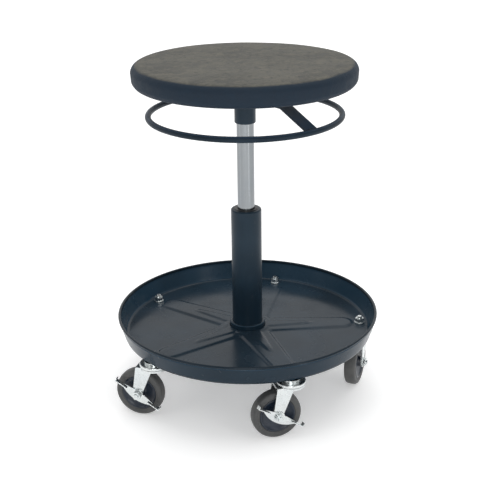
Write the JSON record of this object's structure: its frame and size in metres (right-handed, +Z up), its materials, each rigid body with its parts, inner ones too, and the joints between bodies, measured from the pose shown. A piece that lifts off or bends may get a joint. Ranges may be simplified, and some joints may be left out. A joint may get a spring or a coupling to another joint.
{
  "type": "adjustable swivel stool",
  "caption": "Round work stool with a padded seat on a gas spring, a full-circle height release ring and a dished tray base on swivel casters, front ones braked.",
  "frame": {"origin": "on the floor under the column axis", "axes": "+Z up along the column; +X from the column towards caster 1; seat drawn at the top of its travel"},
  "size_m": [0.4378, 0.4397, 0.5546],
  "materials": {
    "gloss_black": "gloss",
    "satin_black": "satin",
    "ring_black": "gloss",
    "cylinder_chrome": "polished",
    "zinc": "satin",
    "plain_steel": "satin",
    "piston_alloy": "satin",
    "bush_plastic": "satin",
    "bump_rubber": "matte",
    "board_wood": "matte",
    "pad_skin": "matte",
    "hub_plastic": "satin",
    "tyre_rubber": "matte"
  },
  "bodies": {
    "root": {"base_tray": "gloss_black", "base_hub": "gloss_black", "column_tube": "satin_black", "column_bottom_plate": "satin_black", "guide_bush": "bush_plastic", "thrust_washer_lower": "plain_steel", "thrust_ball_cage": "bush_plastic", "thrust_balls": "plain_steel", "caster_king_pins": "zinc", "caster_race_cups": "zinc", "caster_race_balls": "plain_steel", "caster_washers": "zinc", "caster_nuts": "zinc"},
    "rod": {"piston_rod": "plain_steel", "thrust_washer_upper": "plain_steel", "rod_retaining_clip": "plain_steel", "bump_stop": "bump_rubber", "piston": "piston_alloy"},
    "seat": {"seat_pad": "pad_skin", "seat_board": "board_wood", "seat_tee_nuts": "zinc", "seat_screws": "zinc", "mounting_plate": "satin_black", "mechanism_bracket": "satin_black", "gas_spring_socket": "satin_black", "ring_pivot_pin": "zinc", "gas_cylinder": "cylinder_chrome", "cylinder_gland": "bush_plastic", "valve_body": "piston_alloy"},
    "ring": {"release_ring": "ring_black", "ring_crossbar": "ring_black"},
    "valve": {"valve_pin": "plain_steel"},
    "caster_1": {"caster_fork_1": "zinc", "axle_bolt_1": "zinc", "axle_nut_1": "zinc"},
    "wheel_1": {"caster_tyre_1": "tyre_rubber", "caster_hub_1": "hub_plastic"},
    "caster_2": {"caster_fork_2": "zinc", "axle_bolt_2": "zinc", "axle_nut_2": "zinc"},
    "wheel_2": {"caster_tyre_2": "tyre_rubber", "caster_hub_2": "hub_plastic"},
    "caster_3": {"caster_fork_3": "zinc", "axle_bolt_3": "zinc", "axle_nut_3": "zinc"},
    "wheel_3": {"caster_tyre_3": "tyre_rubber", "caster_hub_3": "hub_plastic"},
    "caster_4": {"caster_fork_4": "zinc", "axle_bolt_4": "zinc", "axle_nut_4": "zinc"},
    "wheel_4": {"caster_tyre_4": "tyre_rubber", "caster_hub_4": "hub_plastic"},
    "brake_1": {"brake_lever_1": "zinc"},
    "caster_5": {"caster_fork_5": "zinc", "axle_bolt_5": "zinc", "axle_nut_5": "zinc"},
    "wheel_5": {"caster_tyre_5": "tyre_rubber", "caster_hub_5": "hub_plastic"},
    "brake_2": {"brake_lever_2": "zinc"}
  },
  "joints": [
    {"name": "seat_swivel", "type": "hinge", "parent": "root", "child": "rod", "pos_m": [0, 0, 0.0716], "axis": [0, 0, 1], "continuous": true},
    {"name": "seat_lift", "type": "slide", "parent": "rod", "child": "seat", "axis": [0, 0, 1], "range_m": [-0.13, 0]},
    {"name": "ring_tilt", "type": "hinge", "parent": "seat", "child": "ring", "pos_m": [0.01379, -0.01715, 0.4945], "axis": [-0.7793, -0.6266, 0], "range_deg": [0, 5], "stiffness_Nm_per_rad": 4, "springref_deg": -10},
    {"name": "valve_press", "type": "slide", "parent": "seat", "child": "valve", "axis": [0, 0, -1], "range_m": [0, 0.002]},
    {"name": "caster_swivel_1", "type": "hinge", "parent": "root", "child": "caster_1", "pos_m": [0.1915, 0, 0.0886], "axis": [0, 0, 1], "continuous": true},
    {"name": "wheel_roll_1", "type": "hinge", "parent": "caster_1", "child": "wheel_1", "pos_m": [0.18189, -0.02308, 0.04], "axis": [0.9232, -0.3843, 0], "continuous": true},
    {"name": "caster_swivel_2", "type": "hinge", "parent": "root", "child": "caster_2", "pos_m": [0.05918, 0.18213, 0.0886], "axis": [0, 0, 1], "continuous": true},
    {"name": "wheel_roll_2", "type": "hinge", "parent": "caster_2", "child": "wheel_2", "pos_m": [0.03694, 0.19355, 0.04], "axis": [-0.4571, -0.8894, 0], "continuous": true},
    {"name": "caster_swivel_3", "type": "hinge", "parent": "root", "child": "caster_3", "pos_m": [-0.15493, 0.11256, 0.0886], "axis": [0, 0, 1], "continuous": true},
    {"name": "wheel_roll_3", "type": "hinge", "parent": "caster_3", "child": "wheel_3", "pos_m": [-0.15841, 0.13732, 0.04], "axis": [-0.9903, -0.1392, 0], "continuous": true},
    {"name": "caster_swivel_4", "type": "hinge", "parent": "root", "child": "caster_4", "pos_m": [-0.15493, -0.11256, 0.0886], "axis": [0, 0, 1], "continuous": true},
    {"name": "wheel_roll_4", "type": "hinge", "parent": "caster_4", "child": "wheel_4", "pos_m": [-0.17856, -0.10442, 0.04], "axis": [-0.3256, -0.9455, 0], "continuous": true},
    {"name": "brake_lever_1_rock", "type": "hinge", "parent": "caster_4", "child": "brake_1", "pos_m": [-0.18371, -0.11936, 0.04], "axis": [-0.3256, -0.9455, 0], "range_deg": [0, 28]},
    {"name": "caster_swivel_5", "type": "hinge", "parent": "root", "child": "caster_5", "pos_m": [0.05918, -0.18213, 0.0886], "axis": [0, 0, 1], "continuous": true},
    {"name": "wheel_roll_5", "type": "hinge", "parent": "caster_5", "child": "wheel_5", "pos_m": [0.03512, -0.18893, 0.04], "axis": [0.2723, -0.9622, 0], "continuous": true},
    {"name": "brake_lever_2_rock", "type": "hinge", "parent": "caster_5", "child": "brake_2", "pos_m": [0.03942, -0.20414, 0.04], "axis": [0.2723, -0.9622, 0], "range_deg": [0, 28]}
  ],
  "couplings": [
    {"joint": "valve_press", "follows": "ring_tilt", "m_per_rad": 0.022}
  ]
}
